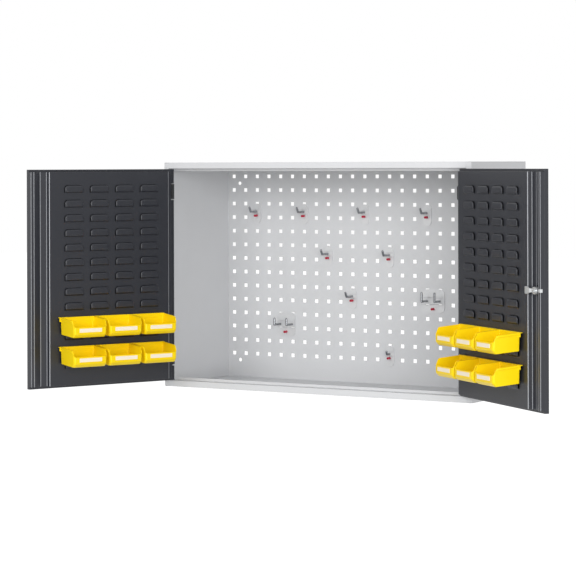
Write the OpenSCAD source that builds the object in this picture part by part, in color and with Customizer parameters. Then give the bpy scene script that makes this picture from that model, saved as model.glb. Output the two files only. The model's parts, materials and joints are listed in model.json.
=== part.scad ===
// Wall-hung tool cabinet with two folded sheet doors, a perforated back
// and louvred door panels that carry storage bins.
// Drawn as it hangs open: the origin is the middle of the wall-fixing
// pattern on the rear face, +X along the width, +Y to the wall, +Z up.

/* [Cabinet body] */
// Width over the side walls
body_w = 916; // [840:2:1000]
// Height over the top and bottom walls
body_h = 600; // [580:1:640]
// Depth from the front flanges to the wall face
body_d = 320; // [260:1:400]
// Thickness of the body sheet
body_sheet = 1.5; // [1:0.1:2]
// Width of the side flange beside the doors
side_flange_w = 15; // [12:0.5:20]
// Depth of the folded return behind the side flange
side_return_d = 26.5; // [25:0.5:40]
// Height of the top and bottom flange
end_flange_h = 16; // [12:0.5:24]
// Depth of the rebate that the doors close into
rebate_d = 24; // [24:0.5:30]
// Height of the stop lip behind the rebate
stop_lip_h = 7; // [4:0.5:7.5]

/* [Perforated back] */
// Side of a square hole
hole_size = 10; // [8:0.5:12]
// Pitch of the holes both ways
hole_pitch = 38; // [34:0.5:40]
// Height of the lowest hole row above the underside
lowest_row_z = 67; // [60:1:80]
// Diameter of a wall-fixing hole
fixing_hole_d = 10; // [6:0.5:12]

/* [Doors] */
// Angle at which the left door stands open
left_open = 114; // [60:1:165]
// Angle at which the right door stands open
right_open = 142.7; // [60:0.1:165]
// Thickness of the outer door skin
skin_sheet = 1.5; // [1:0.1:1.8]
// Thickness of the inner door sheet
inner_sheet = 1.2; // [1:0.1:1.5]
// Depth of the outer tray
tray_d = 11.2; // [10:0.1:13]
// Gap between a door and the flanges round it
door_gap = 1.5; // [1:0.1:3]
// Gap between the two closed doors
centre_gap = 2; // [1.5:0.5:6]
// Gap between the inner door sheet and the stop lips
pan_gap = 1; // [0.5:0.1:2]
// Depth of the door at the louvred panel
panel_d = 28; // [27:0.1:32]
// Depth of the door at the free edge
free_edge_d = 22.5; // [20:0.1:23]
// Depth of the recess beside the free edge
recess_d = 14.7; // [13:0.1:18]

/* [Louvres] */
// Width of a louvre
louvre_w = 54; // [44:1:60]
// Height of a louvre
louvre_h = 20; // [16:1:24]
// How far a louvre stands proud of the panel
louvre_rise = 5; // [4:0.1:5.2]
// Radius of the upper corners of a louvre
louvre_r = 8; // [4:0.5:10]
// Pitch of the louvre columns
louvre_pitch_x = 76; // [70:1:80]
// Pitch of the louvre rows
louvre_pitch_z = 38; // [36:1:42]
// Width of the cut round a louvre
louvre_slit = 1; // [0.5:0.1:2]
// From the hinge edge of the panel to the middle of the first louvre column
louvre_margin_x = 62; // [50:1:70]
// From the top of the inner door to the top of the first louvre row
louvre_margin_top = 35; // [30:1:50]
// Plain panel kept under the lowest louvre row
louvre_margin_foot = 55; // [40:1:70]

/* [Hinges] */
// Radius of a hinge knuckle
knuckle_r = 4.5; // [4:0.1:4.9]
// Height of a hinge
hinge_h = 41; // [36:1:60]
// Height of the middle knuckle
middle_knuckle_h = 15; // [10:0.5:20]
// Diameter of a hinge pin
hinge_pin_d = 5; // [4:0.1:6]
// Running clearance round a hinge pin
hinge_fit = 0.05; // [0.02:0.01:0.1]
// Distance of a hinge centre from the end of the body
hinge_inset = 78; // [60:1:120]

/* [Lock] */
// Distance of the lock axis from the free edge of the door
lock_inset = 21; // [18:0.5:24]
// Height of the lock axis above the underside of the body
lock_z = 301; // [200:1:400]
// Diameter of the lock body
lock_body_d = 18; // [16:0.5:20]
// Diameter of the turning plug
lock_plug_d = 12; // [10:0.5:13]
// Depth of the lock body behind the door skin's front face
lock_back_d = 25.5; // [24.5:0.1:26]
// Reach of the cam from its axis
cam_reach = 37.5; // [34:0.5:39]
// Width of the cam at its tip
cam_w = 17.5; // [14:0.5:20]
// Thickness of the cam
cam_t = 2.5; // [2:0.1:3]
// How far the cam's tip is cranked away from the door
cam_crank = 4; // [3.5:0.1:6]

/* [Bins] */
// Width of a bin body at its top
bin_body_w = 99; // [90:0.5:104]
// How far the rear rim stands out on each side of a bin
bin_rim_side = 3; // [1:0.5:4]
// Gap between the rims of two bins in a row
bin_gap = 1.5; // [1:0.5:6]
// Bare panel between its hinge edge and the first bin
bin_margin_x = 19; // [10:0.5:30]
// Depth of a bin from the door panel to its front
bin_d = 76; // [60:1:90]
// Height of a bin at its rear
bin_h = 44.5; // [42:0.5:50]
// How far the rear rim stands above the side walls
bin_rim_rise = 6.8; // [3:0.1:8]
// Wall of a bin
bin_wall = 1.8; // [1.5:0.1:2.5]
// Height of the front wall of a bin
bin_front_h = 27; // [24:0.5:30]
// Width of a label card
label_w = 66; // [50:1:80]
// Height of a label card
label_h = 10; // [8:0.5:11]

/* [Hooks] */
// Width of a hook plate
hook_plate_w = 26.5; // [24:0.5:30]
// Height of a hook plate
hook_plate_h = 56; // [54:0.5:60]
// Thickness of a hook plate
hook_plate_t = 2; // [1.5:0.1:3]
// Diameter of a hook rod
hook_rod_d = 6; // [5:0.1:7]
// Straight length of a hook arm
hook_reach = 35; // [20:1:60]
// Length of the slanting tip of a hook
hook_tip = 13; // [10:1:30]
// How far the pressed bridge of a hook plate stands out
bridge_rise = 2; // [1:0.1:4]
// Diameter of a locking pin
pin_d = 6.5; // [5:0.1:8]
// How far a locking pin stands out of its plate
pin_reach = 12; // [6:0.5:16]

/* [Hidden] */
$fn = 48;
SINGLE_HOOKS = [[2, 2], [6, 2], [11, 2], [16, 2], [8, 5], [13, 5], [10, 8]];
BINS_PER_ROW = 3;
BIN_ROWS = 2;
BINS_PER_DOOR = BINS_PER_ROW * BIN_ROWS;

LIGHT_GREY = "#d2d5d8";
ANTHRACITE = "#3a3d47";
HINGE_BLACK = "#1d1e20";
BIN_YELLOW = "#f8cf05";
CARD_WHITE = "#f4f0e4";
ZINC = "#a5a8ab";
PIN_RED = "#c8324b";

// Perforated back: the hole grid is centred on the width.
grid_edge = 14;
grid_top = 30;
hole_cols = floor((body_w - 2 * grid_edge) / hole_pitch) + 1;
hole_rows = floor((body_h - lowest_row_z - grid_top) / hole_pitch) + 1;
first_col_x = (body_w - (hole_cols - 1) * hole_pitch) / 2;
top_row_z = lowest_row_z + (hole_rows - 1) * hole_pitch;
function col_x(c) = first_col_x + c * hole_pitch;
function row_z(r) = top_row_z - r * hole_pitch;
fixing_low_z = lowest_row_z - hole_pitch / 2;
fixing_high_z = top_row_z - hole_pitch / 2;
fixing_mid_z = (fixing_low_z + fixing_high_z) / 2;

// Doors, drawn closed: x from the outer side of the body, y from the front.
knuckle_gap = 0.5;
pin_x = side_flange_w + knuckle_r + knuckle_gap;
pin_y = 0;
door_x0 = side_flange_w + door_gap;
door_x1 = (body_w - centre_gap) / 2;
door_z0 = end_flange_h + door_gap;
door_z1 = body_h - end_flange_h - door_gap;
pan_z0 = end_flange_h + stop_lip_h + pan_gap;
pan_z1 = body_h - pan_z0;
hinge_lip_w = 17.2;
pan_x0 = door_x0 + hinge_lip_w;
hinge_flange_w = 10.3;
hinge_flange_drop = 3.6;
hinge_flange_d = panel_d - hinge_flange_drop;
hinge_slope_w = 1.9;
hinge_slope_foot = 0.3;
panel_x0 = pan_x0 + hinge_flange_w;
free_rim_w = 9;
recess_slope_w = 22.2;
recess_w = 18;
panel_step_w = 1.4;
panel_step_foot = 1.8;
panel_x1 = door_x1 - free_rim_w - recess_slope_w - recess_w - panel_step_w;

// Louvres: the first column is set from the hinge edge of the panel.
louvre_first_x = panel_x0 + louvre_margin_x;
louvre_cols = floor((panel_x1 - louvre_w - louvre_first_x) / louvre_pitch_x) + 1;
louvre_top_z = pan_z1 - louvre_margin_top;
louvre_rows = floor((louvre_top_z - pan_z0 - louvre_margin_foot) / louvre_pitch_z) + 1;
function louvre_x(c) = louvre_first_x + c * louvre_pitch_x;
function louvre_z(r) = louvre_top_z - r * louvre_pitch_z;

// Bins: two rows, hung on the second and fourth louvre row from the foot.
bin_seat = 2;
bin_clear = 0.6;
bin_y0 = louvre_rise + bin_clear;
bin_rim_w = bin_body_w + 2 * bin_rim_side;
bin_pitch = bin_rim_w + bin_gap;
bin_first_x = panel_x0 + bin_margin_x + bin_rim_w / 2;
function bin_x(i) = bin_first_x + (i % BINS_PER_ROW) * bin_pitch;
function bin_z(i) = louvre_z(louvre_rows - 2 * (BIN_ROWS - floor(i / BINS_PER_ROW))) + bin_seat;

lock_x = door_x1 - lock_inset;
lock_hole_clear = 3.5;

// ---------- helpers ----------
function unit(v) = v / norm(v);
function left_normal(a, b) = let (u = unit(b - a)) [-u[1], u[0]];
// Point i of an open path, moved a distance t to the left of the path.
function moved_point(path, i, t) =
    let (last = len(path) - 1,
         n1 = left_normal(path[max(i - 1, 0)], path[max(i, 1)]),
         n2 = left_normal(path[min(i, last - 1)], path[min(i + 1, last)]))
    path[i] + t * (n1 + n2) / (1 + n1 * n2);
// Outline of a folded sheet: the path is its outer face, t its thickness.
function sheet_outline(path, t) =
    concat(path, [for (i = [len(path) - 1:-1:0]) moved_point(path, i, t)]);

module in_frame() {
    translate([-body_w / 2, -body_d, -fixing_mid_z]) children();
}

module swung(angle) {
    translate([pin_x, pin_y, 0]) rotate([0, 0, -angle]) translate([-pin_x, -pin_y, 0]) children();
}

module on_left_door() {
    in_frame() swung(left_open) children();
}

module on_right_door() {
    in_frame() translate([body_w, 0, 0]) mirror([1, 0, 0]) swung(right_open) children();
}

// Extrudes a (y, z) outline along x.
module along_x(x0, length) {
    translate([x0, 0, 0]) rotate([90, 0, 90]) linear_extrude(length) children();
}

// Extrudes an (x, z) outline along +y from y0.
module along_y(y0, length) {
    translate([0, y0 + length, 0]) rotate([90, 0, 0]) linear_extrude(length) children();
}

// ---------- cabinet body ----------
module end_wall() {
    plate_z = body_h - body_sheet;
    flange = [[0, plate_z], [0, body_h - end_flange_h],
              [rebate_d, body_h - end_flange_h],
              [rebate_d, body_h - end_flange_h - stop_lip_h]];
    translate([0, 0, plate_z]) cube([body_w, body_d, body_sheet]);
    along_x(side_flange_w, body_w - 2 * side_flange_w) polygon(sheet_outline(flange, body_sheet));
}

module top_wall() {
    color(LIGHT_GREY) in_frame() union() end_wall();
}

module bottom_wall() {
    color(LIGHT_GREY) in_frame() translate([0, 0, body_h]) mirror([0, 0, 1]) union() end_wall();
}

module side_wall() {
    fold = [[0, body_d], [0, 0], [side_flange_w, 0], [side_flange_w, side_return_d]];
    translate([0, 0, body_sheet])
        linear_extrude(body_h - 2 * body_sheet) polygon(sheet_outline(fold, body_sheet));
}

module left_side() {
    color(LIGHT_GREY) in_frame() side_wall();
}

module right_side() {
    color(LIGHT_GREY) in_frame() translate([body_w, 0, 0]) mirror([1, 0, 0]) side_wall();
}

module back_panel() {
    color(LIGHT_GREY) in_frame() along_y(body_d - body_sheet, body_sheet) difference() {
        translate([body_sheet, body_sheet])
            square([body_w - 2 * body_sheet, body_h - 2 * body_sheet]);
        for (c = [0:hole_cols - 1], r = [0:hole_rows - 1])
            translate([col_x(c), row_z(r)]) square(hole_size, center = true);
        for (c = [0.5, hole_cols - 1.5], z = [fixing_low_z, fixing_high_z])
            translate([col_x(c), z]) circle(d = fixing_hole_d);
    }
}

// ---------- hinges ----------
module at_hinges() {
    for (z = [hinge_inset, body_h - hinge_inset]) translate([0, 0, z]) children();
}

module pin_bore(fit) {
    translate([pin_x, pin_y, -hinge_h]) cylinder(d = hinge_pin_d + 2 * fit, h = 2 * hinge_h);
}

// Fixed leaf: a plate on the side return with a knuckle at each end.
module hinge_body_leaf() {
    leaf_t = 2;
    leaf_d = 22;
    slack = 1;
    end_h = (hinge_h - middle_knuckle_h) / 2 - knuckle_gap;
    difference() {
        union() {
            translate([side_flange_w, 0, -hinge_h / 2]) cube([leaf_t, leaf_d, hinge_h]);
            for (z = [-hinge_h / 2, hinge_h / 2 - end_h]) {
                translate([pin_x, pin_y, z]) cylinder(r = knuckle_r, h = end_h);
                translate([side_flange_w, pin_y, z])
                    cube([pin_x - side_flange_w, knuckle_r, end_h]);
            }
        }
        pin_bore(0);
        translate([side_flange_w - slack, -slack, -middle_knuckle_h / 2 - knuckle_gap])
            cube([leaf_t + 2 * slack, slack + knuckle_r + knuckle_gap, middle_knuckle_h + 2 * knuckle_gap]);
    }
}

// Moving leaf: a knuckle, a web behind the skin and a lug on the inner door.
module hinge_door_leaf() {
    web_t = 3;
    lug_t = 4.4;
    lug_r = 8;
    web_x = pin_x + knuckle_r + 2 * knuckle_gap;
    difference() {
        union() {
            translate([pin_x, pin_y, -middle_knuckle_h / 2]) cylinder(r = knuckle_r, h = middle_knuckle_h);
            translate([pin_x, skin_sheet, -middle_knuckle_h / 2])
                cube([pan_x0 - pin_x, web_t, middle_knuckle_h]);
            translate([web_x, skin_sheet, -hinge_h / 2]) cube([pan_x0 - web_x, web_t, hinge_h]);
            along_x(pan_x0 - lug_t, lug_t) {
                translate([skin_sheet, -hinge_h / 2]) square([hinge_flange_d - lug_r - skin_sheet, hinge_h]);
                translate([skin_sheet, -hinge_h / 2 + lug_r])
                    square([hinge_flange_d - skin_sheet, hinge_h - 2 * lug_r]);
                for (side = [-1, 1])
                    translate([hinge_flange_d - lug_r, side * (hinge_h / 2 - lug_r)]) circle(r = lug_r);
            }
        }
        pin_bore(hinge_fit);
    }
}

module hinge_body_leaves() {
    color(HINGE_BLACK) in_frame() {
        at_hinges() hinge_body_leaf();
        translate([body_w, 0, 0]) mirror([1, 0, 0]) at_hinges() hinge_body_leaf();
    }
}

module hinge_pins() {
    color(HINGE_BLACK) in_frame() for (x = [pin_x, body_w - pin_x])
        translate([x, pin_y, 0]) at_hinges()
            translate([0, 0, -hinge_h / 2]) cylinder(d = hinge_pin_d, h = hinge_h);
}

module left_hinge_leaves() {
    color(HINGE_BLACK) on_left_door() at_hinges() hinge_door_leaf();
}

module right_hinge_leaves() {
    color(HINGE_BLACK) on_right_door() at_hinges() hinge_door_leaf();
}

// ---------- doors ----------
// Outer tray: skin, shallow walls and narrow rear lips.
module door_shell() {
    across = [[pan_x0, tray_d], [door_x0, tray_d], [door_x0, 0], [door_x1, 0], [door_x1, tray_d]];
    upright = [[tray_d, pan_z1], [tray_d, door_z1], [0, door_z1], [0, door_z0],
               [tray_d, door_z0], [tray_d, pan_z0]];
    notch_h = hinge_h + 3;
    notch_w = pin_x + knuckle_r + 2 * knuckle_gap - door_x0;
    difference() {
        union() {
            translate([0, 0, door_z0])
                linear_extrude(door_z1 - door_z0) polygon(sheet_outline(across, skin_sheet));
            along_x(door_x0, door_x1 - door_x0) polygon(sheet_outline(upright, skin_sheet));
        }
        at_hinges() {
            translate([door_x0 - 1, -1, -notch_h / 2]) cube([notch_w + 1, tray_d + 2, notch_h]);
            translate([door_x0 - 1, tray_d / 2, -notch_h / 2]) cube([pan_x0 - door_x0 + 2, tray_d, notch_h]);
        }
    }
}

// Louvre in section: a tongue that rises from its foot and runs up level.
louvre_root = 1;
louvre_level = 0.7 * louvre_h;
louvre_path = [[0, -louvre_h - louvre_root], [0, -louvre_h], [louvre_rise, -louvre_level], [louvre_rise, 0]];

// Front view of a tongue, or with a gap that of the cut round it.
module louvre_front(gap) {
    w = louvre_w + 2 * gap;
    r = louvre_r + gap;
    foot = gap > 0 ? louvre_h : louvre_h + louvre_root;
    translate([-w / 2, -foot]) square([w, foot - louvre_r]);
    translate([r - w / 2, -foot]) square([w - 2 * r, foot + gap]);
    for (side = [-1, 1]) translate([side * (w / 2 - r), -louvre_r]) circle(r = r);
}

module louvre_tongue() {
    intersection() {
        along_x(-louvre_w / 2, louvre_w) translate([panel_d, 0])
            polygon(sheet_outline(louvre_path, inner_sheet));
        along_y(panel_d - 2 * inner_sheet, 2 * inner_sheet + louvre_rise + 1) louvre_front(0);
    }
}

module louvre_cut() {
    along_y(panel_d - 2 * inner_sheet, 2 * inner_sheet + 1) louvre_front(louvre_slit);
}

module at_louvres() {
    for (c = [0:louvre_cols - 1], r = [0:louvre_rows - 1])
        translate([louvre_x(c), 0, louvre_z(r)]) children();
}

// Inner sheet: free-edge return, recess, rim, louvred panel and hinge side.
pan_path = [[door_x1 - skin_sheet, skin_sheet], [door_x1 - skin_sheet, tray_d],
            [door_x1, tray_d], [door_x1, free_edge_d], [door_x1 - free_rim_w, free_edge_d],
            [door_x1 - free_rim_w - recess_slope_w, recess_d],
            [panel_x1 + panel_step_w, recess_d + panel_step_foot],
            [panel_x1, panel_d], [panel_x0, panel_d],
            [panel_x0 - hinge_slope_w, hinge_flange_d + hinge_slope_foot],
            [pan_x0, hinge_flange_d], [pan_x0, skin_sheet]];

module door_panel(lock_hole) {
    difference() {
        union() {
            translate([0, 0, pan_z0])
                linear_extrude(pan_z1 - pan_z0) polygon(sheet_outline(pan_path, inner_sheet));
            for (z = [pan_z0, pan_z1 - inner_sheet])
                translate([0, 0, z]) linear_extrude(inner_sheet) polygon(pan_path);
        }
        at_louvres() louvre_cut();
        if (lock_hole)
            translate([lock_x, 0, lock_z]) rotate([-90, 0, 0])
                cylinder(d = lock_body_d + 2 * lock_hole_clear, h = panel_d);
    }
    at_louvres() louvre_tongue();
}

module left_door_shell() {
    color(ANTHRACITE) on_left_door() door_shell();
}

module left_door_panel() {
    color(ANTHRACITE) on_left_door() door_panel(false);
}

module right_door_shell() {
    color(ANTHRACITE) on_right_door() difference() {
        door_shell();
        translate([lock_x, -1, lock_z]) rotate([-90, 0, 0]) cylinder(d = lock_body_d, h = 4);
    }
}

module right_door_panel() {
    color(ANTHRACITE) on_right_door() door_panel(true);
}

// ---------- lock ----------
lock_fit = 0.05;
lock_head_t = 3;
lock_head_w = 3;
lock_nut_t = 4;
key_slot = [1.5, 8, 9];
plug_square = lock_plug_d * 0.65;
cam_eye_d = cam_w;
cam_neck_w = 9;
cam_slope_w = 7;
cam_flat_w = 20;
screw_head_d = 8;
screw_head_t = 2.5;
screw_slot = 1.2;

module at_lock() {
    on_right_door() translate([lock_x, 0, lock_z]) rotate([-90, 0, 0]) children();
}

// Round body with a front rim; the bore takes the turning plug.
module lock_body() {
    bore_h = lock_back_d + lock_head_t + 2;
    color(ZINC) at_lock() difference() {
        union() {
            cylinder(d = lock_body_d, h = lock_back_d);
            translate([0, 0, -lock_head_t]) cylinder(d = lock_body_d + 2 * lock_head_w, h = lock_head_t);
        }
        translate([0, 0, -lock_head_t - 1]) cylinder(d = lock_plug_d + 2 * lock_fit, h = bore_h);
    }
}

module lock_nut() {
    color(ZINC) at_lock() translate([0, 0, skin_sheet]) difference() {
        cylinder(d = lock_body_d + 8, h = lock_nut_t, $fn = 6);
        translate([0, 0, -1]) cylinder(d = lock_body_d, h = lock_nut_t + 2);
    }
}

// Turning plug with a key slot in front and a square end for the cam.
module lock_plug() {
    color(ZINC) at_lock() difference() {
        union() {
            translate([0, 0, -lock_head_t]) cylinder(d = lock_plug_d, h = lock_back_d + lock_head_t);
            translate([-plug_square / 2, -plug_square / 2, 0])
                cube([plug_square, plug_square, lock_back_d + cam_t]);
        }
        translate([-key_slot[0] / 2, -key_slot[1] / 2, -lock_head_t - 1]) cube(key_slot);
    }
}

// Cranked cam, pointing to the hinge side while the door stands unlocked:
// an eye on the plug, a neck that slopes away and a wide flat tip.
module lock_cam() {
    neck_x = cam_reach - cam_flat_w;
    side_view = [[cam_eye_d / 2, 0], [-neck_x + cam_slope_w, 0], [-neck_x, cam_crank],
                 [-cam_reach, cam_crank]];
    color(ZINC) at_lock() translate([0, 0, lock_back_d]) difference() {
        intersection() {
            translate([0, cam_w / 2, 0]) rotate([90, 0, 0]) linear_extrude(cam_w)
                polygon(sheet_outline(side_view, -cam_t));
            linear_extrude(cam_crank + cam_t) {
                circle(d = cam_eye_d);
                translate([-neck_x, -cam_neck_w / 2]) square([neck_x, cam_neck_w]);
                polygon([[-neck_x + cam_slope_w / 2, -cam_neck_w / 2],
                         [-neck_x + cam_slope_w / 2, cam_neck_w / 2],
                         [-neck_x - cam_slope_w, cam_w / 2], [-cam_reach, cam_w / 2],
                         [-cam_reach, -cam_w / 2], [-neck_x - cam_slope_w, -cam_w / 2]]);
            }
        }
        translate([-plug_square / 2, -plug_square / 2, -1]) cube([plug_square, plug_square, cam_t + 2]);
    }
}

module lock_cam_screw() {
    color(ZINC) at_lock() translate([0, 0, lock_back_d + cam_t]) difference() {
        cylinder(d = screw_head_d, h = screw_head_t);
        translate([-screw_slot / 2, -screw_head_d / 2 - 1, screw_head_t / 2])
            cube([screw_slot, screw_head_d + 2, screw_head_t]);
    }
}

// Clip on the free edge of the right door beside the lock.
module edge_clip() {
    clip_t = 0.7;
    clip_h = 8;
    clip_w = 8.5;
    clip_d = 6;
    profile = [[door_x1, free_edge_d - clip_d], [door_x1, free_edge_d], [door_x1 - clip_w, free_edge_d]];
    color(ZINC) on_right_door() translate([0, 0, lock_z - clip_h / 2]) linear_extrude(clip_h)
        polygon(sheet_outline(profile, -clip_t));
}

// ---------- bins ----------
bin_foot_drop = 5.5;
bin_bevel_w = 7;
bin_bevel_h = 9;
bin_shoulder_w = 7.5;
bin_rim_t = 2.5;
bin_rim_h = 11;
bin_taper = 3;
label_t = 0.8;
rail_t = 1.2;
rail_over = 0.5;
label_side = 2;
label_foot = 14;
label_z = label_foot - bin_h - bin_foot_drop;

// Side view of a bin, y from the door panel and z from the top of its rim.
// With an inset it is the hollow, which runs out at the top.
hollow_top = 5;
function bin_side(inset) =
    [[bin_y0 + inset, inset > 0 ? hollow_top : -bin_rim_rise],
     [bin_y0 + inset, inset - bin_h],
     [bin_d - bin_bevel_w, inset - bin_h - bin_foot_drop],
     [bin_d - inset, bin_bevel_h - bin_h - bin_foot_drop + inset / 2],
     [bin_d - inset, inset > 0 ? hollow_top : bin_front_h - bin_h - bin_foot_drop]];

// Front view of a bin of a given width at the top, tapering to its foot.
module bin_front(w, top_z) {
    foot_z = -bin_h - bin_foot_drop;
    polygon([[-w / 2, top_z], [w / 2, top_z], [(w - bin_taper) / 2, foot_z], [(bin_taper - w) / 2, foot_z]]);
}

module bin_outer() {
    intersection() {
        along_x(-bin_body_w / 2, bin_body_w)
            polygon(concat(bin_side(0), [[bin_d - bin_shoulder_w, -bin_rim_rise]]));
        along_y(0, bin_d) bin_front(bin_body_w, 0);
    }
}

module bin_inner() {
    w = bin_body_w - 2 * bin_wall;
    intersection() {
        along_x(-w / 2, w) polygon(bin_side(bin_wall));
        along_y(0, bin_d) bin_front(w, hollow_top);
    }
}

// Lowers the front wall between the side walls.
module bin_mouth() {
    w = bin_body_w - 2 * bin_wall - bin_taper;
    translate([-w / 2, bin_d - bin_wall - 1, bin_front_h - bin_h - bin_foot_drop])
        cube([w, bin_wall + 2, bin_h]);
}

// The tab of a bin that drops behind the tongue of one louvre column.
module bin_tab(x_from, x_to) {
    tab_t = louvre_rise - inner_sheet - 3 * bin_clear;
    tab_h = 10;
    tab_least = 6;
    if (x_to - x_from > tab_least)
        translate([x_from, bin_clear, -tab_h]) cube([x_to - x_from, tab_t, tab_h]);
}

module bin(i) {
    slot_half = louvre_w / 2 - louvre_r - bin_clear;
    translate([bin_x(i), panel_d, bin_z(i)]) {
        difference() {
            union() {
                bin_outer();
                translate([-bin_rim_w / 2, bin_y0, -bin_rim_h]) cube([bin_rim_w, bin_rim_t, bin_rim_h]);
                translate([-bin_rim_w / 2, bin_clear, -bin_seat]) cube([bin_rim_w, bin_y0, bin_seat]);
                for (z = [label_z - rail_t, label_z + label_h])
                    translate([-label_w / 2 - label_side, bin_d - rail_over, z])
                        cube([label_w + 2 * label_side, rail_over + rail_t, rail_t]);
            }
            bin_inner();
            bin_mouth();
        }
        for (c = [0:louvre_cols - 1])
            bin_tab(max(-bin_rim_w / 2, louvre_x(c) - bin_x(i) - slot_half),
                    min(bin_rim_w / 2, louvre_x(c) - bin_x(i) + slot_half));
    }
}

module bin_label(i) {
    translate([bin_x(i) - label_w / 2, panel_d + bin_d, bin_z(i) + label_z]) cube([label_w, label_t, label_h]);
}

module left_bin(i) {
    color(BIN_YELLOW) on_left_door() bin(i);
}

module right_bin(i) {
    color(BIN_YELLOW) on_right_door() bin(i);
}

module left_label(i) {
    color(CARD_WHITE) on_left_door() bin_label(i);
}

module right_label(i) {
    color(CARD_WHITE) on_right_door() bin_label(i);
}

// ---------- hooks ----------
panel_y = body_d - body_sheet;
hook_drop = 9;
lug_w = hole_size - 1;
lug_h = 3;
lug_seat = 0.5;
mark_w = 7;
mark_h = 2.6;
mark_depth = 1.2;
slit_h = 1.2;
edge_land = 1.5;
pin_shank_d = 4;
single_bridge = [1.4, 11.4];
double_bridge = [-8.2, 8.2];
slant_angle = 60;
upright_angle = 90;
double_plate = [65, 63];
holder_plate = [57, 65];
plate_r = 14;
double_tip = 22;
holder_tip = 16;
short_reach = 17;
short_tip = 8;
single_pin_z = -5;
double_pin_z = -21;
DOUBLE_SPOT = [16, 8];
HOLDER_SPOT = [4, 10];
SHORT_SPOT = [13, hole_rows - 2];

// Places a hook plate over the holes of column c, rows r and r + 1.
module at_holes(c, r) {
    in_frame() translate([col_x(c), panel_y, row_z(r + 0.5) - hook_drop]) children();
}

module plate_outline(size, r) {
    dx = size[0] / 2 - r;
    dz = size[1] / 2 - r;
    square([size[0], 2 * dz], center = true);
    if (dx > 0) square([2 * dx, size[1]], center = true);
    for (x = dx > 0 ? [-dx, dx] : [0], z = [-dz, dz]) translate([x, z]) circle(r = r);
}

// Plate with a window for its bridge and shallow marks where the lugs are pressed out.
module hook_plate(size, r, bridge, hole_xs) {
    window_w = size[0] - 2 * edge_land;
    difference() {
        along_y(-hook_plate_t, hook_plate_t) difference() {
            plate_outline(size, r);
            translate([-window_w / 2, bridge[0] - slit_h])
                square([window_w, bridge[1] - bridge[0] + 2 * slit_h]);
        }
        for (x = hole_xs, z = [-1, 1])
            translate([x - mark_w / 2, -hook_plate_t - 1, lug_z(z) + (lug_h - mark_h) / 2])
                cube([mark_w, 1 + mark_depth, mark_h]);
    }
    for (x = hole_xs, z = [-1, 1])
        translate([x - lug_w / 2, -hook_plate_t / 2, lug_z(z)])
            cube([lug_w, hook_plate_t / 2 + body_sheet, lug_h]);
    translate([0, 0, bridge[0]]) linear_extrude(bridge[1] - bridge[0]) hook_bridge(size[0]);
}

// Foot of a lug: it rests on the lower edge of its square hole.
function lug_z(side) = hook_drop + side * hole_pitch / 2 - hole_size / 2 + lug_seat;

// Bridge of a hook plate seen from above: a strip that arches forward.
module hook_bridge(w) {
    land = edge_land / 2;
    slope = 1.5 * bridge_rise;
    front = [[-w / 2 + land, -hook_plate_t], [-w / 2 + edge_land + 0.5, -hook_plate_t],
             [-w / 2 + edge_land + slope, -hook_plate_t - bridge_rise],
             [w / 2 - edge_land - slope, -hook_plate_t - bridge_rise],
             [w / 2 - edge_land - 0.5, -hook_plate_t], [w / 2 - land, -hook_plate_t]];
    polygon(sheet_outline(front, hook_plate_t));
}

// Rod that runs forward from the bridge and ends in an upward tip.
module hook_arm(x, z, reach, angle, tip) {
    translate([x, -bridge_rise, z]) rotate([90, 0, 0]) cylinder(d = hook_rod_d, h = reach - bridge_rise);
    translate([x, -reach, z]) {
        sphere(d = hook_rod_d);
        rotate([90 - angle, 0, 0]) {
            cylinder(d = hook_rod_d, h = tip);
            translate([0, 0, tip]) sphere(d = hook_rod_d);
        }
    }
}

module locking_bore(z) {
    translate([0, -hook_plate_t - 1, z]) rotate([-90, 0, 0]) cylinder(d = pin_shank_d, h = hook_plate_t + 2);
}

// Hook with one arm on a plate with round ends.
module one_arm_hook(reach, tip) {
    difference() {
        hook_plate([hook_plate_w, hook_plate_h], hook_plate_w / 2, single_bridge, [0]);
        locking_bore(single_pin_z);
    }
    hook_arm(0, (single_bridge[0] + single_bridge[1]) / 2, reach, slant_angle, tip);
}

// Hook with two arms on a plate over four holes.
module two_arm_hook(size, tip) {
    difference() {
        hook_plate(size, plate_r, double_bridge, [-hole_pitch / 2, hole_pitch / 2]);
        locking_bore(double_pin_z);
    }
    for (x = [-hole_pitch / 2, hole_pitch / 2]) hook_arm(x, 0, hook_reach, upright_angle, tip);
}

module single_hook(spot) {
    color(ZINC) at_holes(spot[0], spot[1]) one_arm_hook(hook_reach, hook_tip);
}

module short_hook() {
    color(ZINC) at_holes(SHORT_SPOT[0], SHORT_SPOT[1]) one_arm_hook(short_reach, short_tip);
}

module double_hook() {
    color(ZINC) at_holes(DOUBLE_SPOT[0] + 0.5, DOUBLE_SPOT[1]) two_arm_hook(double_plate, double_tip);
}

module double_holder() {
    color(ZINC) at_holes(HOLDER_SPOT[0] + 0.5, HOLDER_SPOT[1]) two_arm_hook(holder_plate, holder_tip);
}

// Pin with a hollow front, pushed through a hook plate.
module locking_pin(z) {
    hollow_depth = 4;
    hollow_wall = 1.3;
    translate([0, -hook_plate_t, z]) rotate([90, 0, 0]) {
        translate([0, 0, -hook_plate_t]) cylinder(d = pin_shank_d, h = hook_plate_t);
        difference() {
            cylinder(d = pin_d, h = pin_reach);
            translate([0, 0, pin_reach - hollow_depth])
                cylinder(d = pin_d - 2 * hollow_wall, h = hollow_depth + 1);
        }
    }
}

module hook_locking_pins() {
    color(PIN_RED) {
        for (spot = concat(SINGLE_HOOKS, [SHORT_SPOT])) at_holes(spot[0], spot[1]) locking_pin(single_pin_z);
        for (spot = [DOUBLE_SPOT, HOLDER_SPOT]) at_holes(spot[0] + 0.5, spot[1]) locking_pin(double_pin_z);
    }
}

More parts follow.
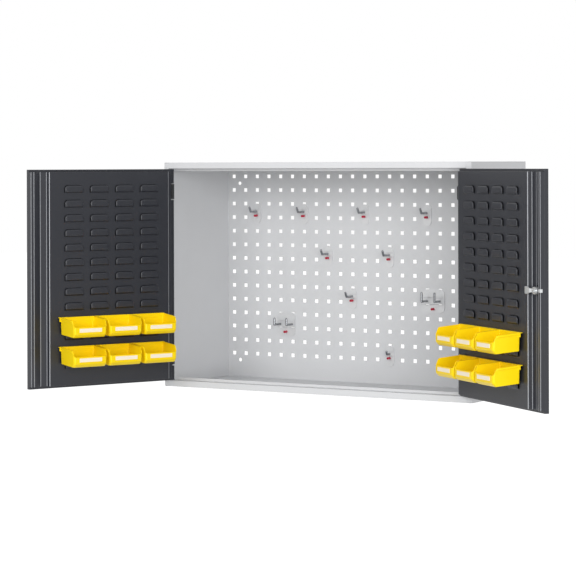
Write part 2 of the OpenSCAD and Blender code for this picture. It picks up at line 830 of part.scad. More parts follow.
top_wall();
bottom_wall();
left_side();
right_side();
back_panel();
hinge_body_leaves();
hinge_pins();
left_door_shell();
left_door_panel();
left_hinge_leaves();
right_door_shell();
right_door_panel();
right_hinge_leaves();
lock_body();
lock_nut();
lock_plug();
lock_cam();
lock_cam_screw();
edge_clip();
for (i = [1:BINS_PER_DOOR]) {
    left_bin(i - 1);
    right_bin(i - 1);
    left_label(i - 1);
    right_label(i - 1);
}
for (i = [1:len(SINGLE_HOOKS)])
    single_hook(SINGLE_HOOKS[i - 1]);
double_hook();
double_holder();
short_hook();
hook_locking_pins();
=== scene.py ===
import json
import math

import bmesh
import bpy
from mathutils import Matrix, Vector

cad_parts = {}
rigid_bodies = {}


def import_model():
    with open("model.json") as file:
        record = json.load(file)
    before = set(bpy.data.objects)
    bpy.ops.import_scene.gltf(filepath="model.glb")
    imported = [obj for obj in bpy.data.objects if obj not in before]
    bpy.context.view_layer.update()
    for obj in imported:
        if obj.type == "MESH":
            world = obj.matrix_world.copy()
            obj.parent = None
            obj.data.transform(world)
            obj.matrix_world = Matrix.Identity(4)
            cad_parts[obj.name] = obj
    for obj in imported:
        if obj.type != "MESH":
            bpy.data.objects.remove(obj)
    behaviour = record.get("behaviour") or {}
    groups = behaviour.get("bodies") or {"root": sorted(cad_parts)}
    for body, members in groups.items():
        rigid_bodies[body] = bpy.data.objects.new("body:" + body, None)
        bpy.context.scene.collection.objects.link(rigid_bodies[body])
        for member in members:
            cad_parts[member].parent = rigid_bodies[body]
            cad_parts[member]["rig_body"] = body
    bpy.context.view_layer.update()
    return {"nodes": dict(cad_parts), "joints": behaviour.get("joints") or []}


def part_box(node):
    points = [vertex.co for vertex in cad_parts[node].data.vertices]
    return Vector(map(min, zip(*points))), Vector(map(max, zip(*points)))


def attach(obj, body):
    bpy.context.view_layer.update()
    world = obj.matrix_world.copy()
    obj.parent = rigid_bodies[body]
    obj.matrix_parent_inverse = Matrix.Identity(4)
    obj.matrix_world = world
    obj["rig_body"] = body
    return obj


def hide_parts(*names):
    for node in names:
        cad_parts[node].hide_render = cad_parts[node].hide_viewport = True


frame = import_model()

# ---------------------------------------------------------------- the view
# The cabinet was photographed from the right and a little above its middle,
# from about six metres away, cut out on white. Lengths are in metres.
camera_data = bpy.data.cameras.new("camera")
camera_data.sensor_width = 36
camera_data.lens = 141.02
camera_data.shift_y = -0.2146
camera = bpy.data.objects.new("camera", camera_data)
camera.location = (2.9327, -5.3585, 0.2992)
camera.rotation_euler = (math.radians(90), 0.003, 0.5376)
bpy.context.scene.collection.objects.link(camera)
bpy.context.scene.camera = camera
bpy.context.scene.view_settings.view_transform = "Standard"


def add_node(tree, kind, settings, links=()):
    """Adds a node; settings are attributes or input values, links are (input, source socket)."""
    node = tree.nodes.new(kind)
    for key, value in settings.items():
        if isinstance(key, str) and hasattr(node, key):
            setattr(node, key, value)
        else:
            node.inputs[key].default_value = value
    for key, source in links:
        tree.links.new(source, node.inputs[key])
    return node


def linear(hex_colour):
    """Turns an sRGB hex colour into the linear RGBA that a shader wants."""
    channels = [int(hex_colour[i:i + 2], 16) / 255 for i in (1, 3, 5)]
    return [c / 12.92 if c <= 0.04045 else ((c + 0.055) / 1.055) ** 2.4 for c in channels] + [1.0]


# Soft daylight from all round; the camera and every reflection see plain white.
# The lamps stand low and to the front, because the photo's interior has few shadows.
WORLD_LIGHT = 0.7
world = bpy.data.worlds.new("studio")
world.use_nodes = True
bpy.context.scene.world = world


def seen_directly(tree):
    """1 for camera, glossy and transmission rays, 0 for the light that falls on things."""
    path = add_node(tree, "ShaderNodeLightPath", {})
    eye = add_node(tree, "ShaderNodeMath", {"operation": "MAXIMUM"},
                   [(0, path.outputs["Is Camera Ray"]), (1, path.outputs["Is Transmission Ray"])])
    return add_node(tree, "ShaderNodeMath", {"operation": "MAXIMUM"},
                    [(0, eye.outputs[0]), (1, path.outputs["Is Glossy Ray"])]).outputs[0]


tree = world.node_tree
tree.nodes.clear()
light = add_node(tree, "ShaderNodeBackground", {"Color": linear("#fafafa"), "Strength": WORLD_LIGHT})
white = add_node(tree, "ShaderNodeBackground", {"Color": (1, 1, 1, 1), "Strength": 1.0})
mixed = add_node(tree, "ShaderNodeMixShader", {},
                 [(0, seen_directly(tree)), (1, light.outputs[0]), (2, white.outputs[0])])
add_node(tree, "ShaderNodeOutputWorld", {}, [("Surface", mixed.outputs[0])])


def soft_box(name, place, size, power):
    """A square white studio lamp at a place, turned to the middle of the cabinet's back."""
    lamp = bpy.data.lights.new(name, "AREA")
    lamp.shape = "SQUARE"
    lamp.size = size
    lamp.energy = power
    obj = bpy.data.objects.new(name, lamp)
    obj.location = place
    obj.rotation_euler = (-Vector(place)).to_track_quat("-Z", "Y").to_euler()
    bpy.context.scene.collection.objects.link(obj)


soft_box("key_light", (-0.5, -4.3, 1.3), 1.8, 50)
soft_box("front_light", (3.2, -4.0, 0.4), 2.4, 118)

# A plain pale floor well below the hanging cabinet.
FLOOR_Z = -1.15
floor_mesh = bpy.data.meshes.new("floor")
floor_mesh.from_pydata([(-20, -14, FLOOR_Z), (20, -14, FLOOR_Z),
                        (20, 26, FLOOR_Z), (-20, 26, FLOOR_Z)], [], [(0, 1, 2, 3)])
floor = bpy.data.objects.new("floor", floor_mesh)
bpy.context.scene.collection.objects.link(floor)
floor_finish = bpy.data.materials.new("white_floor")
floor_finish.use_nodes = True
tree = floor_finish.node_tree
tree.nodes.clear()
# The floor takes the cabinet's shadow; what the camera sees of it is lifted to white.
FLOOR_LIFT = 0.78
matt = add_node(tree, "ShaderNodeBsdfDiffuse", {"Color": linear("#b9b9b9")})
lift = add_node(tree, "ShaderNodeMath", {"operation": "MULTIPLY", 1: FLOOR_LIFT}, [(0, seen_directly(tree))])
glow = add_node(tree, "ShaderNodeEmission", {"Color": (1, 1, 1, 1)}, [("Strength", lift.outputs[0])])
summed = add_node(tree, "ShaderNodeAddShader", {}, [(0, matt.outputs[0]), (1, glow.outputs[0])])
add_node(tree, "ShaderNodeOutputMaterial", {}, [("Surface", summed.outputs[0])])
floor_mesh.materials.append(floor_finish)

# ---------------------------------------------------------------- body shell
# Top, bottom and side walls are folded from 1.5 mm steel sheet, welded at
# the corners and powder coated light grey. The front edges are turned in
# twice, so every edge that the eye meets is a small bend, not a cut.
MM = 0.001
NODE_BODY = {node: solid["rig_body"] for node, solid in frame["nodes"].items()}
SHEET_BEND = 0.7
SHARP_ANGLE = 40


def surface(name):
    """An empty node material with object coordinates and a shader to fill."""
    finish = bpy.data.materials.new(name)
    finish.use_nodes = True
    finish.node_tree.nodes.clear()
    return finish, finish.node_tree, add_node(finish.node_tree, "ShaderNodeTexCoord", {}).outputs["Object"]


def powder_coat(name, dark, pale, roughness, peel_mm, peel_depth_mm, painted_highlight_colour=None):
    """Baked powder paint: an even colour that drifts slightly, over fine orange peel.

    Where a mesh carries the bend attribute, a paler colour is mixed into the base colour there: a painted
    highlight along the bends.
    """
    finish, tree, where = surface(name)
    drift = add_node(tree, "ShaderNodeTexNoise", {"Scale": 1 / (90 * MM), "Detail": 2.0},
                     [("Vector", where)])
    colour = add_node(tree, "ShaderNodeMix", {"data_type": "RGBA", 6: linear(dark), 7: linear(pale)},
                      [(0, drift.outputs["Fac"])])
    peel = add_node(tree, "ShaderNodeTexNoise", {"Scale": 1 / (peel_mm * MM), "Detail": 3.0},
                    [("Vector", where)])
    bump = add_node(tree, "ShaderNodeBump", {"Strength": 0.6, "Distance": peel_depth_mm * MM},
                    [("Height", peel.outputs["Fac"])])
    sheen = add_node(tree, "ShaderNodeMapRange",
                     {"From Min": 0.3, "From Max": 0.7,
                      "To Min": roughness - 0.05, "To Max": roughness + 0.07},
                     [("Value", peel.outputs["Fac"])])
    base = colour.outputs[2]
    if painted_highlight_colour:
        # Painted highlight: a paler colour mixed into the base colour along the marked bends.
        bends = add_node(tree, "ShaderNodeAttribute", {"attribute_name": "painted_bend_highlight"})
        base = add_node(tree, "ShaderNodeMix", {"data_type": "RGBA", 7: linear(painted_highlight_colour)},
                        [(0, bends.outputs["Fac"]), (6, base)]).outputs[2]
    paint = add_node(tree, "ShaderNodeBsdfPrincipled", {"IOR": 1.5, "Metallic": 0.0},
                     [("Base Color", base), ("Roughness", sheen.outputs["Result"]),
                      ("Normal", bump.outputs["Normal"])])
    add_node(tree, "ShaderNodeOutputMaterial", {}, [("Surface", paint.outputs[0])])
    return finish


def modified(mesh, kind, **settings):
    """Returns the mesh as one modifier leaves it."""
    obj = bpy.data.objects.new("work", mesh)
    bpy.context.scene.collection.objects.link(obj)
    modifier = obj.modifiers.new("work", kind)
    for key, value in settings.items():
        setattr(modifier, key, value)
    done = bpy.data.meshes.new_from_object(obj.evaluated_get(bpy.context.evaluated_depsgraph_get()))
    bpy.data.objects.remove(obj)
    return done


def add_piece(name, mesh, finish, body, stands_for=()):
    """Makes a finished piece of a mesh, gives it its finish and hangs it on its body."""
    mesh.materials.clear()
    mesh.materials.append(finish)
    for polygon in mesh.polygons:
        polygon.material_index = 0
    mesh.shade_smooth()
    mesh.set_sharp_from_angle(angle=math.radians(SHARP_ANGLE))
    # Weighted normals let a broad flat face stay flat beside its rounded edges.
    piece = bpy.data.objects.new(name, modified(mesh, "WEIGHTED_NORMAL", keep_sharp=True, weight=100))
    bpy.context.scene.collection.objects.link(piece)
    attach(piece, body)
    if stands_for:
        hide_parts(*stands_for)


def rounded(mesh, width_mm, segments=2, angle=30):
    """Returns the mesh with its sharp edges rounded."""
    return modified(mesh, "BEVEL", width=width_mm * MM, segments=segments, limit_method="ANGLE",
                    angle_limit=math.radians(angle))


def mesh_of(bm, name):
    """Ends a bmesh and returns its plain mesh."""
    mesh = bpy.data.meshes.new(name)
    bm.to_mesh(mesh)
    bm.free()
    return mesh


def clean_copy(node):
    """A copy of a frame node's mesh with its loose triangles joined into whole faces."""
    bm = bmesh.new()
    bm.from_mesh(frame["nodes"][node].data)
    bmesh.ops.remove_doubles(bm, verts=bm.verts, dist=1e-6)
    bmesh.ops.dissolve_limit(bm, angle_limit=math.radians(0.5), verts=bm.verts, edges=bm.edges)
    return mesh_of(bm, node)


grey_coat = powder_coat("light_grey_powder_coat", "#cccdcf", "#d1d2d4", 0.42, 1.6, 0.03)
for node in ("top_wall", "bottom_wall", "left_side", "right_side"):
    add_piece("folded_" + node, rounded(clean_copy(node), SHEET_BEND), grey_coat,
              NODE_BODY[node], [node])

# ---------------------------------------------------------------- perforated back
# The back is one punched sheet: 10 mm square holes on a 38 mm grid for the
# hooks, and a round hole near each corner for the wall screws. Each punched
# square is one tile with a softly rolled edge, repeated over the grid.
HOLE = 10.0
HOLE_PITCH = 38.0
BACK_SHEET = 1.5
HOLE_CORNER = 0.7
EDGE_ROLL = 0.25
FIXING_HOLE = 10.0
ROUND_STEPS = 40
body_low = Vector((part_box("left_side")[0][0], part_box("left_side")[0][1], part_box("bottom_wall")[0][2]))
body_high = Vector((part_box("right_side")[1][0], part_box("right_side")[1][1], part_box("top_wall")[1][2]))
back_low, back_high = [Vector(corner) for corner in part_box("back_panel")]
LOWEST_ROW = 67.0
COLUMNS = int((body_high.x - body_low.x) / MM // HOLE_PITCH)
ROWS = 14


def square_ring(half, corner, depth):
    """A square with rounded corners as 12 points, at a depth behind the sheet's front."""
    points = []
    for quarter in range(4):
        centre = Vector((half - corner, half - corner))
        for step in range(3):
            angle = math.radians(45 * step)
            x = centre.x + corner * math.cos(angle)
            z = centre.y + corner * math.sin(angle)
            for _ in range(quarter):
                x, z = -z, x
            points.append((x * MM, depth * MM, z * MM))
    return points


def punched_tile():
    """One pitch of sheet, seen from the front, with its punched hole."""
    half = HOLE_PITCH / 2
    outer = []
    for quarter in range(4):
        for x, z in ((half, 0), (half, half), (0, half)):
            for _ in range(quarter):
                x, z = -z, x
            outer.append((x * MM, 0, z * MM))
    rings = [outer, square_ring(HOLE / 2 + 1.5 * EDGE_ROLL, HOLE_CORNER + 1.5 * EDGE_ROLL, 0),
             square_ring(HOLE / 2 + EDGE_ROLL, HOLE_CORNER + EDGE_ROLL, 0),
             square_ring(HOLE / 2, HOLE_CORNER, 0.6 * EDGE_ROLL)]
    vertices = [point for ring in rings for point in ring]
    faces = []
    for ring in range(len(rings) - 1):
        for i in range(12):
            j = (i + 1) % 12
            faces.append((ring * 12 + i, ring * 12 + 12 + i, ring * 12 + 12 + j, ring * 12 + j))
    mesh = bpy.data.meshes.new("punched_tile")
    mesh.from_pydata(vertices, [], faces)
    return mesh


def grid_tree(name):
    """Geometry tree that repeats one object over an x-z grid and joins the copies."""
    tree = bpy.data.node_groups.new(name, "GeometryNodeTree")
    for label, kind in (("Geometry", "Geometry"), ("Columns", "Int"), ("Rows", "Int"),
                        ("Column pitch", "Float"), ("Row pitch", "Float"),
                        ("Shape", "Object"), ("Finish", "Material")):
        tree.interface.new_socket(label, in_out="INPUT", socket_type="NodeSocket" + kind)
    tree.interface.new_socket("Geometry", in_out="OUTPUT", socket_type="NodeSocketGeometry")
    given = add_node(tree, "NodeGroupInput", {})

    def span(count, pitch):
        gaps = add_node(tree, "ShaderNodeMath", {"operation": "SUBTRACT", 1: 1.0},
                        [(0, given.outputs[count])])
        return add_node(tree, "ShaderNodeMath", {"operation": "MULTIPLY"},
                        [(0, gaps.outputs[0]), (1, given.outputs[pitch])]).outputs[0]

    grid = add_node(tree, "GeometryNodeMeshGrid", {},
                    [("Size X", span("Columns", "Column pitch")), ("Size Y", span("Rows", "Row pitch")),
                     ("Vertices X", given.outputs["Columns"]), ("Vertices Y", given.outputs["Rows"])])
    upright = add_node(tree, "GeometryNodeTransform", {"Rotation": (math.radians(90), 0, 0)},
                       [("Geometry", grid.outputs["Mesh"])])
    shape = add_node(tree, "GeometryNodeObjectInfo", {}, [("Object", given.outputs["Shape"])])
    copies = add_node(tree, "GeometryNodeInstanceOnPoints", {},
                      [("Points", upright.outputs["Geometry"]), ("Instance", shape.outputs["Geometry"])])
    real = add_node(tree, "GeometryNodeRealizeInstances", {}, [("Geometry", copies.outputs["Instances"])])
    welded = add_node(tree, "GeometryNodeMergeByDistance", {"Distance": 0.01 * MM},
                      [("Geometry", real.outputs["Geometry"])])
    painted = add_node(tree, "GeometryNodeSetMaterial", {},
                       [("Geometry", welded.outputs["Geometry"]), ("Material", given.outputs["Finish"])])
    add_node(tree, "NodeGroupOutput", {}, [("Geometry", painted.outputs["Geometry"])])
    return tree


def repeated(tree, shape_mesh, finish, columns, rows, column_pitch, row_pitch):
    """Runs a grid tree over a shape and returns the plain mesh."""
    shape = bpy.data.objects.new("shape", shape_mesh)
    holder = bpy.data.objects.new("holder", bpy.data.meshes.new("holder"))
    for obj in (shape, holder):
        bpy.context.scene.collection.objects.link(obj)
    modifier = holder.modifiers.new("grid", "NODES")
    modifier.node_group = tree
    values = {"Columns": columns, "Rows": rows, "Column pitch": column_pitch * MM,
              "Row pitch": row_pitch * MM, "Shape": shape, "Finish": finish}
    for item in tree.interface.items_tree:
        if item.in_out == "INPUT" and item.name in values:
            modifier[item.identifier] = values[item.name]
    mesh = bpy.data.meshes.new_from_object(holder.evaluated_get(bpy.context.evaluated_depsgraph_get()))
    bpy.data.objects.remove(holder)
    bpy.data.objects.remove(shape)
    return mesh


def thickened(mesh, thickness_mm):
    """Gives an open sheet its thickness, behind its face."""
    return modified(mesh, "SOLIDIFY", thickness=thickness_mm * MM, offset=-1.0)


def cut(mesh, cutter):
    """Cuts one mesh out of another."""
    tool = bpy.data.objects.new("tool", cutter)
    bpy.context.scene.collection.objects.link(tool)
    done = modified(mesh, "BOOLEAN", operation="DIFFERENCE", solver="EXACT", object=tool)
    bpy.data.objects.remove(tool)
    return done


grid_repeat = grid_tree("grid_repeat")
perforated = repeated(grid_repeat, punched_tile(), grey_coat, COLUMNS, ROWS, HOLE_PITCH, HOLE_PITCH)
grid_centre_x = (body_low.x + body_high.x) / 2
grid_centre_z = body_low.z + (LOWEST_ROW + (ROWS - 1) * HOLE_PITCH / 2) * MM
perforated.transform(Matrix.Translation((grid_centre_x, back_low.y, grid_centre_z)))

# The plain border: the tiles' outer edges are drawn out to the sheet's own edges.
bm = bmesh.new()
bm.from_mesh(perforated)
for axis, side, reach in ((0, -1, back_low.x), (0, 1, back_high.x),
                          (2, -1, back_low.z), (2, 1, back_high.z)):
    outermost = max(side * vertex.co[axis] for vertex in bm.verts)
    rim = [edge for edge in bm.edges if edge.is_boundary
           and all(side * vertex.co[axis] > outermost - 0.1 * MM for vertex in edge.verts)]
    drawn = bmesh.ops.extrude_edge_only(bm, edges=rim)["geom"]
    for vertex in drawn:
        if isinstance(vertex, bmesh.types.BMVert):
            vertex.co[axis] = reach
bmesh.ops.recalc_face_normals(bm, faces=bm.faces)
if bm.faces[0].normal.y > 0:
    bmesh.ops.reverse_faces(bm, faces=bm.faces)
perforated = thickened(mesh_of(bm, "perforated"), BACK_SHEET)


def add_plug(bm, diameter_mm, depth_mm, place):
    """Adds a round plug along y, to cut a round hole with."""
    radius = diameter_mm / 2 * MM
    bmesh.ops.create_cone(bm, cap_ends=True, segments=ROUND_STEPS, radius1=radius, radius2=radius,
                          depth=depth_mm * MM,
                          matrix=Matrix.Translation(place) @ Matrix.Rotation(math.radians(90), 4, "X"))


bm = bmesh.new()
for column in (0.5, COLUMNS - 1.5):
    for row_z in (LOWEST_ROW - HOLE_PITCH / 2, LOWEST_ROW + (ROWS - 1.5) * HOLE_PITCH):
        x = grid_centre_x + (column - (COLUMNS - 1) / 2) * HOLE_PITCH * MM
        add_plug(bm, FIXING_HOLE, 8, (x, back_low.y, body_low.z + row_z * MM))
add_piece("punched_back", cut(perforated, mesh_of(bm, "screw_holes")), grey_coat,
          NODE_BODY["back_panel"], ["back_panel"])

# ---------------------------------------------------------------- hinges
# Each door hangs on two black steel hinges: a leaf on the side return, a
# leaf behind the door skin with a rounded lug, and a pin through both.
black_steel = powder_coat("black_hinge_coat", "#161719", "#1d1e21", 0.38, 1.2, 0.02)
for node in ("hinge_body_leaves", "left_hinge_leaves", "right_hinge_leaves", "hinge_pins"):
    add_piece("black_" + node, rounded(clean_copy(node), 0.4), black_steel,
              NODE_BODY[node], [node])

# ---------------------------------------------------------------- door trays
# The outer half of each door is a shallow folded tray of 1.5 mm steel,
# powder coated anthracite with the fine sand texture that hides finger marks.
# The paler #a6a8ad is a painted highlight, laid only where a door panel marks its bends.
anthracite = powder_coat("anthracite_fine_texture", "#1f2128", "#24262d", 0.42, 0.9, 0.03, "#a6a8ad")
for node in ("left_door_shell", "right_door_shell"):
    add_piece("folded_" + node, rounded(clean_copy(node), SHEET_BEND), anthracite,
              NODE_BODY[node], [node])

# ---------------------------------------------------------------- louvred door panels
# The inner half of each door is pressed from 1.2 mm sheet: a turned-in free
# edge, a gutter, and a flat field with 52 lanced tongues for the bins, cut
# on three sides and pushed out 5 mm with their edges rolled in.
PAN_SHEET = 1.2
PAN_BEND = 1.8
PAN_RIM = 0.7
SKIN = 1.5
TRAY = 11.2
PANEL = 28.0
FREE_EDGE = 22.5
RECESS = 14.7
GUTTER = 16.5
DOOR_X1 = 457.0
RIM_X = DOOR_X1 - 9
RECESS_X = DOOR_X1 - 31.2
PAN_X0 = 33.7
PANEL_X0 = 44.0
PANEL_X1 = 406.4
GUTTER_X = PANEL_X1 + 1.4
PAN_Z0 = 24.0
PAN_Z1 = 576.0
LOUVRE_W = 54.0
LOUVRE_H = 20.0
LOUVRE_RISE = 5.0
LOUVRE_R = 8.0
LOUVRE_FOOT = 0.24
LOUVRE_ROLL = 2.0
LOUVRE_ROLL_W = 2.6
PAINTED_HIGHLIGHT_REACH = 0.85
LOUVRE_CUT = 1.0
LOUVRE_PITCH_X = 76.0
LOUVRE_PITCH_Z = 38.0
LOUVRE_COLUMNS = 4
LOUVRE_ROWS = 13
LOUVRE_X0 = 106.0
LOUVRE_TOP = 541.0
joints = {joint["name"]: joint for joint in frame["joints"]}


def door_place(side):
    """Matrix from a closed door's own millimetres to its open place in metres."""
    hinge = joints[side + "_door_hinge"]
    pin = Vector(hinge["pos_m"])
    opened = math.radians(-hinge["range_deg"][0])
    corner = Matrix.Translation(body_low) @ Matrix.Scale(MM, 4)
    if side == "right":
        mirrored = Matrix.Translation((body_low.x + body_high.x, 0, 0)) @ Matrix.Scale(-1, 4, (1, 0, 0))
        corner = mirrored @ corner
        opened = -opened
    return Matrix.Translation(pin) @ Matrix.Rotation(-opened, 4, "Z") @ Matrix.Translation(-pin) @ corner


def placed(mesh, side):
    """Moves a door mesh, made in closed-door millimetres, to its place."""
    mesh = mesh.copy()
    mesh.transform(door_place(side))
    if side == "right":
        mesh.flip_normals()
    return mesh


def pan_mesh():
    """The pressed inner sheet, closed-door millimetres, without its louvres."""
    outline = [(DOOR_X1 - SKIN, SKIN), (DOOR_X1 - SKIN, TRAY), (DOOR_X1, TRAY), (DOOR_X1, FREE_EDGE),
               (RIM_X, FREE_EDGE), (RECESS_X, RECESS), (GUTTER_X, GUTTER), (PANEL_X1, PANEL),
               (PANEL_X0, PANEL), (PANEL_X0 - 1.9, PANEL - 3.3), (PAN_X0, PANEL - 3.6), (PAN_X0, SKIN)]
    bm = bmesh.new()
    low = [bm.verts.new((x, y, PAN_Z0)) for x, y in outline]
    high = [bm.verts.new((x, y, PAN_Z1)) for x, y in outline]
    bm.faces.new(low)
    bm.faces.new(high)
    count = len(outline)
    open_side = None
    for i in range(count):
        j = (i + 1) % count
        face = bm.faces.new((low[i], low[j], high[j], high[i]))
        if j == 0:
            open_side = face
    bmesh.ops.recalc_face_normals(bm, faces=bm.faces)
    kept_sharp = set(open_side.edges)
    # The two bends where the sheet tucks in behind the skin stay tight.
    tight = {edge for edge in bm.edges for corner in outline[1:3]
             if {v.co.xy.freeze() for v in edge.verts} == {Vector(corner).freeze()}}
    bends = [edge for edge in bm.edges if edge not in kept_sharp and edge not in tight]
    bmesh.ops.delete(bm, geom=[open_side], context="FACES_ONLY")
    upright = [edge for edge in bends if edge.verts[0].co.z != edge.verts[1].co.z]
    bmesh.ops.bevel(bm, geom=upright, offset=PAN_BEND, segments=3, affect="EDGES", profile=0.5,
                    clamp_overlap=True)
    rims = [edge for edge in bm.edges if len(edge.link_faces) == 2
            and edge.verts[0].co.z == edge.verts[1].co.z and edge.verts[0].co.z in (PAN_Z0, PAN_Z1)]
    bmesh.ops.bevel(bm, geom=rims, offset=PAN_RIM, segments=2, affect="EDGES", profile=0.5,
                    clamp_overlap=True)
    return mesh_of(bm, "pan")


def tongue_outline(gap, steps=6):
    """Front view of a tongue, foot to foot over its rounded top, as (x, z)."""
    half = LOUVRE_W / 2 + gap
    radius = LOUVRE_R + gap
    points = [(half, -LOUVRE_H)]
    for i in range(steps + 1):
        angle = math.radians(90 * i / steps)
        points.append((half - radius + radius * math.cos(angle), -LOUVRE_R + radius * math.sin(angle)))
    return points + [(-x, z) for x, z in reversed(points)]


def tongue_rise(z):
    """How far the tongue stands out at a height: a soft bend over its foot, then level."""
    share = min(max((z + LOUVRE_H) / (LOUVRE_FOOT * LOUVRE_H), 0), 1)
    return LOUVRE_RISE * share * share * (3 - 2 * share)


def tongue_mesh():
    """One lanced tongue, from its foot up; its cut edges are rolled towards the panel."""
    levels = [-20, -19.2, -18.3, -17.4, -16.5, -15.2, -12, -8, -5.5, -3.3, -1.7, -0.6, 0]
    across = [-1, -0.985, -0.95, -0.9, -0.6, 0, 0.6, 0.9, 0.95, 0.985, 1]
    bm = bmesh.new()
    rows = []
    for z in levels:
        drop = max(z + LOUVRE_R, 0)
        half = LOUVRE_W / 2 - LOUVRE_R + math.sqrt(max(LOUVRE_R ** 2 - drop ** 2, 0))
        row = []
        for share in across:
            x = half * share
            side = LOUVRE_W / 2 - abs(x)
            if drop > 0:
                corner = math.hypot(max(abs(x) - (LOUVRE_W / 2 - LOUVRE_R), 0), drop)
                side = min(LOUVRE_R - corner, side)
            rolled = max(1 - side / LOUVRE_ROLL_W, 0)
            rise = tongue_rise(z)
            y = rise - LOUVRE_ROLL * rolled ** 2 * (rise / LOUVRE_RISE)
            row.append(bm.verts.new((x, PANEL + y, z)))
        rows.append(row)
    for low, high in zip(rows, rows[1:]):
        for i in range(len(across) - 1):
            bm.faces.new((low[i + 1], low[i], high[i], high[i + 1]))
    mesh = mesh_of(bm, "tongue")
    mesh.transform(Matrix.Scale(MM, 4))
    return thickened(mesh, PAN_SHEET)


def tongue_cutter():
    """The cut round a tongue, as a plug through the sheet."""
    outline = tongue_outline(LOUVRE_CUT)
    bm = bmesh.new()
    near, far = [[bm.verts.new((x * MM, (PANEL + reach) * MM, z * MM)) for x, z in outline]
                 for reach in (-4, 4)]
    bm.faces.new(near)
    bm.faces.new(far)
    for i in range(len(outline)):
        j = (i + 1) % len(outline)
        bm.faces.new((near[i], near[j], far[j], far[i]))
    bmesh.ops.recalc_face_normals(bm, faces=bm.faces)
    return mesh_of(bm, "tongue_cutter")


def over_field(mesh):
    """Moves a grid of louvre shapes from the origin to its place on the panel."""
    centre_x = LOUVRE_X0 + (LOUVRE_COLUMNS - 1) * LOUVRE_PITCH_X / 2
    centre_z = LOUVRE_TOP - (LOUVRE_ROWS - 1) * LOUVRE_PITCH_Z / 2
    mesh.transform(Matrix.Translation((centre_x * MM, 0, centre_z * MM)))
    return mesh


def paint_bend_highlights(mesh):
    """Marks on a door sheet, in closed-door millimetres, how strongly each upright bend gets a painted
    highlight.
    """
    painted_highlights = [(DOOR_X1, FREE_EDGE, 0.6), (RIM_X, FREE_EDGE, 0.8), (RECESS_X, RECESS, 0.7),
              (GUTTER_X, GUTTER, 0.6), (PANEL_X1, PANEL, 1.0), (PANEL_X0, PANEL, 0.8)]
    attribute = mesh.attributes.new("painted_bend_highlight", "FLOAT", "POINT")
    for vertex, value in zip(mesh.vertices, attribute.data):
        for x, y, shine in painted_highlights:
            if math.hypot(vertex.co.x - x, vertex.co.y - y) < PAINTED_HIGHLIGHT_REACH * PAN_BEND:
                value.value = shine


pan = pan_mesh()
pan.transform(Matrix.Scale(MM, 4))
pan = thickened(pan, PAN_SHEET)
cutters = over_field(repeated(grid_repeat, tongue_cutter(), anthracite, LOUVRE_COLUMNS, LOUVRE_ROWS,
                              LOUVRE_PITCH_X, LOUVRE_PITCH_Z))
tongues = over_field(repeated(grid_repeat, tongue_mesh(), anthracite, LOUVRE_COLUMNS, LOUVRE_ROWS,
                              LOUVRE_PITCH_X, LOUVRE_PITCH_Z))
pan = cut(pan, cutters)
LOCK_X = 436.0
LOCK_Z = 301.0
LOCK_HOLE = 25.0
bm = bmesh.new()
add_plug(bm, LOCK_HOLE, PANEL, (LOCK_X * MM, PANEL * 0.55 * MM, LOCK_Z * MM))
lock_hole = mesh_of(bm, "lock_hole")
for side in ("left", "right"):
    sheet = cut(pan.copy(), lock_hole) if side == "right" else pan
    bm = bmesh.new()
    bm.from_mesh(sheet)
    bm.from_mesh(tongues)
    whole = mesh_of(bm, "louvred")
    whole.transform(Matrix.Scale(1 / MM, 4))
    # Paints highlights along the panel's upright bends.
    paint_bend_highlights(whole)
    node = side + "_door_panel"
    add_piece("louvred_" + node, placed(whole, side), anthracite,
              NODE_BODY[node], [node])

# ---------------------------------------------------------------- lock
# A cam lock in the right-hand door: body, nut, a plug with a key slot, a cam held by one screw
# and the edge clip, all in bright zinc plate. It stands unlocked.


def zinc_plate(name, dark, pale, roughness, metallic):
    """Zinc plating or bare steel: a soft metal sheen with faint cloudy patches."""
    finish, tree, where = surface(name)
    cloud = add_node(tree, "ShaderNodeTexNoise", {"Scale": 1 / (6 * MM), "Detail": 4.0},
                     [("Vector", where)])
    colour = add_node(tree, "ShaderNodeMix", {"data_type": "RGBA", 6: linear(dark), 7: linear(pale)},
                      [(0, cloud.outputs["Fac"])])
    sheen = add_node(tree, "ShaderNodeMapRange",
                     {"From Min": 0.3, "From Max": 0.7,
                      "To Min": roughness - 0.06, "To Max": roughness + 0.08},
                     [("Value", cloud.outputs["Fac"])])
    metal = add_node(tree, "ShaderNodeBsdfPrincipled", {"Metallic": metallic},
                     [("Base Color", colour.outputs[2]), ("Roughness", sheen.outputs["Result"])])
    add_node(tree, "ShaderNodeOutputMaterial", {}, [("Surface", metal.outputs[0])])
    return finish


zinc = zinc_plate("bright_zinc_plate", "#c2c4c6", "#d2d4d5", 0.38, 0.8)
for node in ("lock_body", "lock_nut", "lock_plug", "lock_cam", "lock_cam_screw", "edge_clip"):
    add_piece("zinc_" + node, rounded(clean_copy(node), 0.35), zinc, NODE_BODY[node], [node])

# ---------------------------------------------------------------- storage bins
# Twelve open-fronted bins of moulded yellow polypropylene. Each hangs by a
# turned-over rear rim and a tab behind a louvre, and has a ledge for a card.


